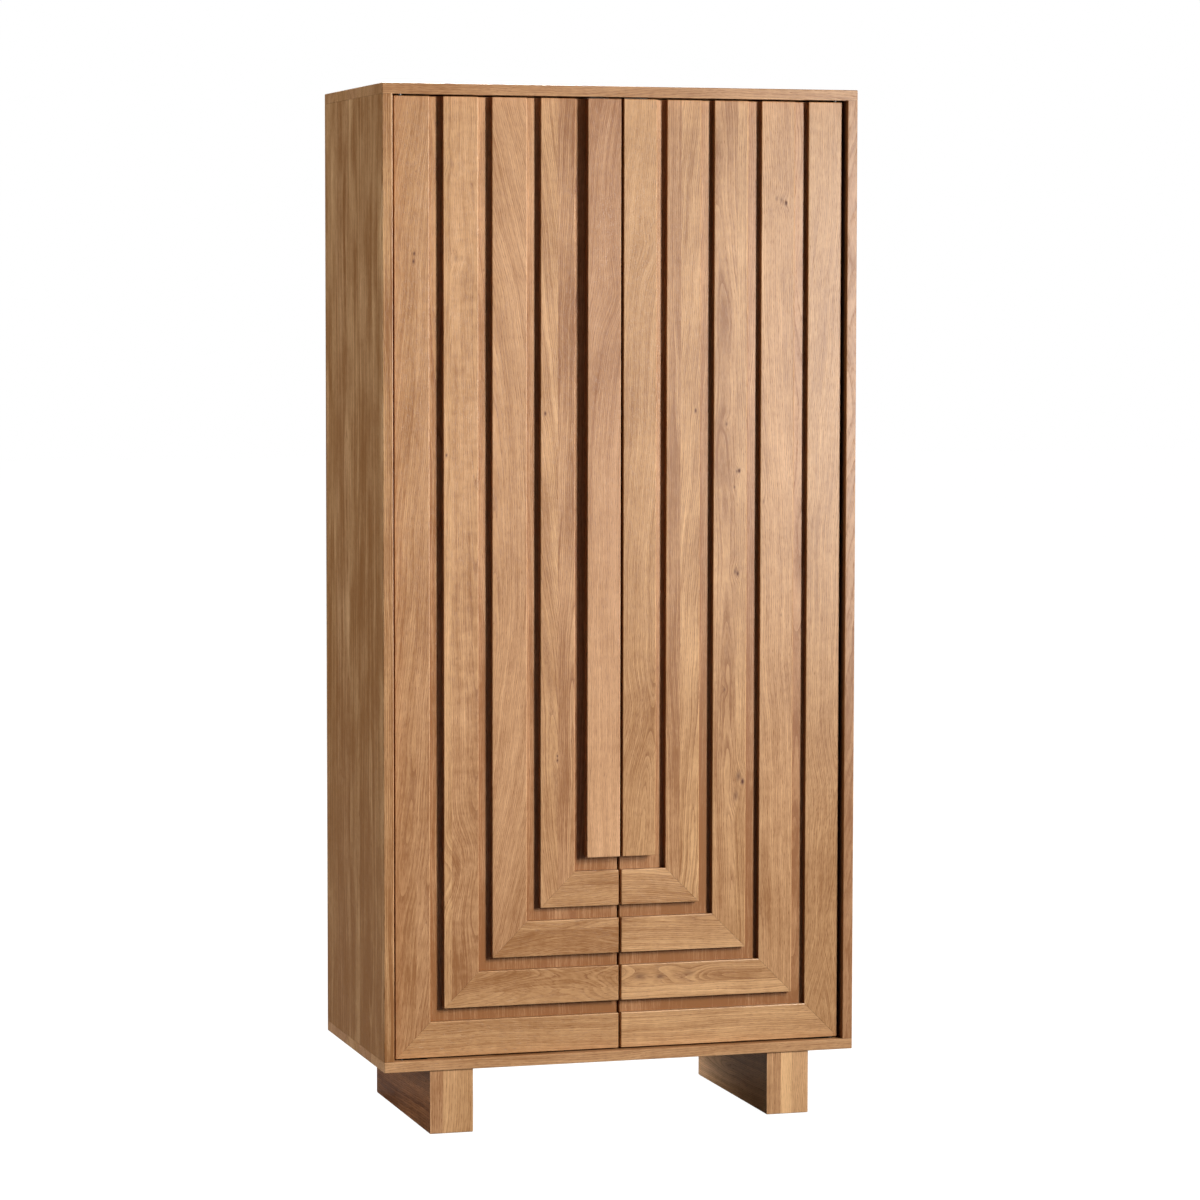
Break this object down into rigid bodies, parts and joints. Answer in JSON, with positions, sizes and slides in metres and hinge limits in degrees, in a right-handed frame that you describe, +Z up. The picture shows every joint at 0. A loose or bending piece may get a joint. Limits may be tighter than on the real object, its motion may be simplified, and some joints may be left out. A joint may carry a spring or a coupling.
{
  "type": "tall cabinet",
  "caption": "Tall oak cabinet on boxed feet, with inset doors faced by nested mitred frames and a raised pull strip, over fixed and loose shelves.",
  "frame": {"origin": "on the floor, under the middle of the cabinet's bounding box", "axes": "+Z up, +X towards the right-hand door as seen from the front, -Y out of the front"},
  "size_m": [0.9, 0.46, 1.9],
  "materials": {
    "oak_carcass": "natural oak boards, matt oil, softened edges",
    "oak_door": "natural oak, upright grain, matt oil",
    "oak_frame": "natural oak strips with visible figure, matt oil",
    "oak_foot": "natural oak, upright grain on the front boards, matt oil",
    "oak_shelf": "natural oak boards, matt oil",
    "oak_back": "oak-faced panel, upright grain, matt",
    "hinge_steel": "plain satin steel",
    "nickel": "satin nickel plate",
    "catch_shell": "pale grey moulded shell"
  },
  "bodies": {
    "carcass": {"back_panel": "oak_back", "bottom_panel": "oak_carcass", "left_bottom_hinge_carcass_leaf": "hinge_steel", "left_catch": "catch_shell", "left_foot_back_board": "oak_foot", "left_foot_front_board": "oak_foot", "left_foot_inner_board": "oak_foot", "left_foot_outer_board": "oak_foot", "left_side_panel": "oak_carcass", "left_top_hinge_carcass_leaf": "hinge_steel", "lower_fixed_shelf": "oak_shelf", "lower_loose_shelf": "oak_shelf", "lower_loose_shelf_pin_left_back": "nickel", "lower_loose_shelf_pin_left_front": "nickel", "lower_loose_shelf_pin_right_back": "nickel", "lower_loose_shelf_pin_right_front": "nickel", "right_bottom_hinge_carcass_leaf": "hinge_steel", "right_catch": "catch_shell", "right_foot_back_board": "oak_foot", "right_foot_front_board": "oak_foot", "right_foot_inner_board": "oak_foot", "right_foot_outer_board": "oak_foot", "right_side_panel": "oak_carcass", "right_top_hinge_carcass_leaf": "hinge_steel", "top_panel": "oak_carcass", "upper_fixed_shelf": "oak_shelf", "upper_loose_shelf": "oak_shelf", "upper_loose_shelf_pin_left_back": "nickel", "upper_loose_shelf_pin_left_front": "nickel", "upper_loose_shelf_pin_right_back": "nickel", "upper_loose_shelf_pin_right_front": "nickel"},
    "left_door": {"left_bottom_hinge_door_leaf": "hinge_steel", "left_door_panel": "oak_door", "left_door_pull_strip": "oak_frame", "left_door_rail_1": "oak_frame", "left_door_rail_2": "oak_frame", "left_door_rail_3": "oak_frame", "left_door_rail_4": "oak_frame", "left_door_stile_1": "oak_frame", "left_door_stile_2": "oak_frame", "left_door_stile_3": "oak_frame", "left_door_stile_4": "oak_frame", "left_door_strike_plate": "nickel", "left_top_hinge_door_leaf": "hinge_steel"},
    "right_door": {"right_bottom_hinge_door_leaf": "hinge_steel", "right_door_panel": "oak_door", "right_door_pull_strip": "oak_frame", "right_door_rail_1": "oak_frame", "right_door_rail_2": "oak_frame", "right_door_rail_3": "oak_frame", "right_door_rail_4": "oak_frame", "right_door_stile_1": "oak_frame", "right_door_stile_2": "oak_frame", "right_door_stile_3": "oak_frame", "right_door_stile_4": "oak_frame", "right_door_strike_plate": "nickel", "right_top_hinge_door_leaf": "hinge_steel"}
  },
  "joints": [
    {"name": "left_door_hinge", "type": "hinge", "parent": "carcass", "child": "left_door", "pos_m": [-0.413, -0.206, 1.0085], "axis": [0, 0, -1], "range_deg": [0, 100]},
    {"name": "right_door_hinge", "type": "hinge", "parent": "carcass", "child": "right_door", "pos_m": [0.413, -0.206, 1.0085], "axis": [0, 0, 1], "range_deg": [0, 100]}
  ]
}
